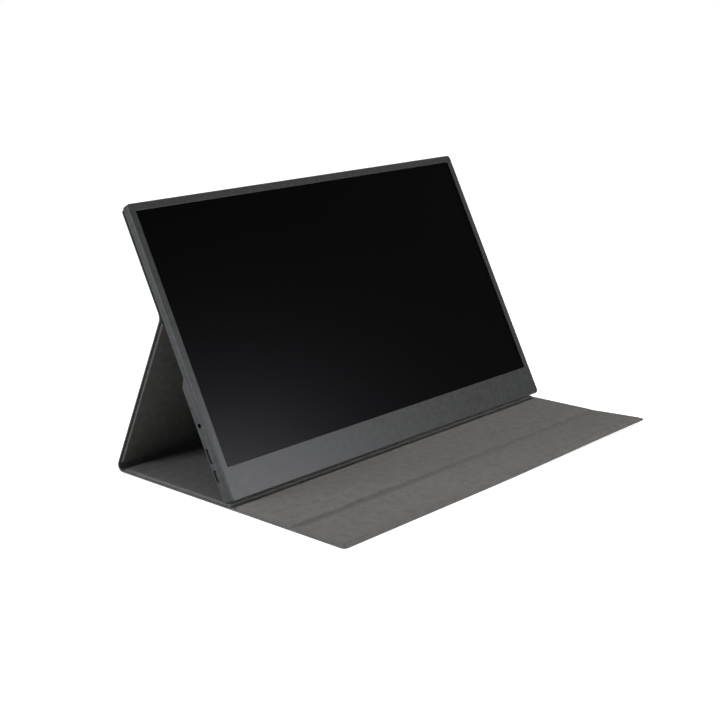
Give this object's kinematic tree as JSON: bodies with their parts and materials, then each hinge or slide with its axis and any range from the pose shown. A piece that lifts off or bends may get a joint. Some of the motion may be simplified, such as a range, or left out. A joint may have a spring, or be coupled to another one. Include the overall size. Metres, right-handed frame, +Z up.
{
  "type": "portable monitor with folding cover",
  "caption": "Slim flat-panel portable monitor with a thicker chin end, standing on its folded leather-look cover with stiff panels and fold-out flaps.",
  "frame": {"origin": "middle of the footprint of the standing monitor and its cover, on the surface it lies on", "axes": "+Z up; -Y towards the viewer, the way the front flap points; +X to the viewer's right, along the folds"},
  "size_m": [0.3567, 0.2402, 0.2069],
  "materials": {
    "frame_paint": "fine matte charcoal coat",
    "screen_glass": "dark anti-glare display surface",
    "light_sheet": "white reflector stack",
    "keeper_steel": "thin plated sheet",
    "circuit_board": "green solder mask",
    "screw_steel": "zinc-plated",
    "ribbon": "amber flexible film",
    "connector_body": "cream moulded plastic",
    "port_steel": "nickel-plated socket shells",
    "black_plastic": "black moulded plastic",
    "button_plastic": "satin charcoal plastic",
    "magnet_nickel": "nickel-plated magnets",
    "cover_skin": "dark grey leather-look skin, fine grain",
    "stiff_board": "pressed paper board",
    "cover_lining": "warm grey soft lining"
  },
  "bodies": {
    "base": {"base_skin": "cover_skin", "base_board": "stiff_board", "base_lining": "cover_lining", "spine_skin": "cover_skin", "spine_board": "stiff_board", "spine_lining": "cover_lining", "crease_strip": "cover_skin", "bend_strip": "cover_skin", "groove_strip_1": "cover_skin"},
    "strut": {"strut_skin": "cover_skin", "strut_board": "stiff_board", "strut_lining": "cover_lining", "fold_strip": "cover_skin"},
    "top_panel": {"top_skin": "cover_skin", "top_board": "stiff_board", "top_lining": "cover_lining", "top_magnets": "magnet_nickel"},
    "monitor": {"front_bezel": "frame_paint", "lcd_glass": "screen_glass", "backlight": "light_sheet", "keeper_plate": "keeper_steel", "rear_shell": "frame_paint", "driver_board": "circuit_board", "key_board": "circuit_board", "board_screws": "screw_steel", "ribbon_cable": "ribbon", "panel_connector": "connector_body", "port_audio": "port_steel", "port_hdmi": "port_steel", "port_usb_c_left": "port_steel", "port_usb_c_right": "port_steel", "speaker_left": "black_plastic", "speaker_right": "black_plastic", "chin_magnets": "magnet_nickel", "power_switch": "black_plastic", "wheel_switch": "black_plastic"},
    "power_key": {"power_button": "button_plastic"},
    "wheel_carrier": {"wheel_carrier": "black_plastic"},
    "menu_wheel": {"menu_wheel": "black_plastic"},
    "mid_flap": {"mid_skin": "cover_skin", "mid_board": "stiff_board", "mid_lining": "cover_lining", "groove_strip_2": "cover_skin"},
    "front_flap": {"front_skin": "cover_skin", "front_board": "stiff_board", "front_lining": "cover_lining", "front_magnets": "magnet_nickel"}
  },
  "joints": [
    {"name": "stand_fold", "type": "hinge", "parent": "base", "child": "strut", "pos_m": [0, 0.11922, 0.0025], "axis": [1, 0, 0], "range_deg": [-22.5, 16.5], "deforming": ["bend_strip"]},
    {"name": "screen_fold", "type": "hinge", "parent": "strut", "child": "top_panel", "pos_m": [0, 0.0572, 0.12835], "axis": [1, 0, 0], "range_deg": [-34, 46], "deforming": ["fold_strip"]},
    {"name": "lift_off", "type": "slide", "parent": "top_panel", "child": "monitor", "axis": [0, -0.8949, 0.4463], "range_m": [0, 0.06]},
    {"name": "mid_flap_fold", "type": "hinge", "parent": "base", "child": "mid_flap", "pos_m": [0, -0.01153, 0.00255], "axis": [1, 0, 0], "range_deg": [-70, 0], "deforming": ["groove_strip_1"]},
    {"name": "front_flap_fold", "type": "hinge", "parent": "mid_flap", "child": "front_flap", "pos_m": [0, -0.07168, 0.0026], "axis": [1, 0, 0], "range_deg": [-175, 0], "deforming": ["groove_strip_2"]},
    {"name": "power_press", "type": "slide", "parent": "monitor", "child": "power_key", "axis": [-1, 0, 0], "range_m": [0, 0.0004], "stiffness_N_per_m": 2500, "springref_m": -0.0004},
    {"name": "wheel_press", "type": "slide", "parent": "monitor", "child": "wheel_carrier", "axis": [-1, 0, 0], "range_m": [0, 0.0005], "stiffness_N_per_m": 2500, "springref_m": -0.0004},
    {"name": "wheel_roll", "type": "hinge", "parent": "wheel_carrier", "child": "menu_wheel", "pos_m": [0.1742, 0.02123, 0.0569], "axis": [0, 0.8949, -0.4463], "range_deg": [-18, 18], "stiffness_Nm_per_rad": 0.004}
  ],
  "couplings": [
    {"joint": "screen_fold", "follows": "stand_fold", "ratio": -2.013}
  ]
}
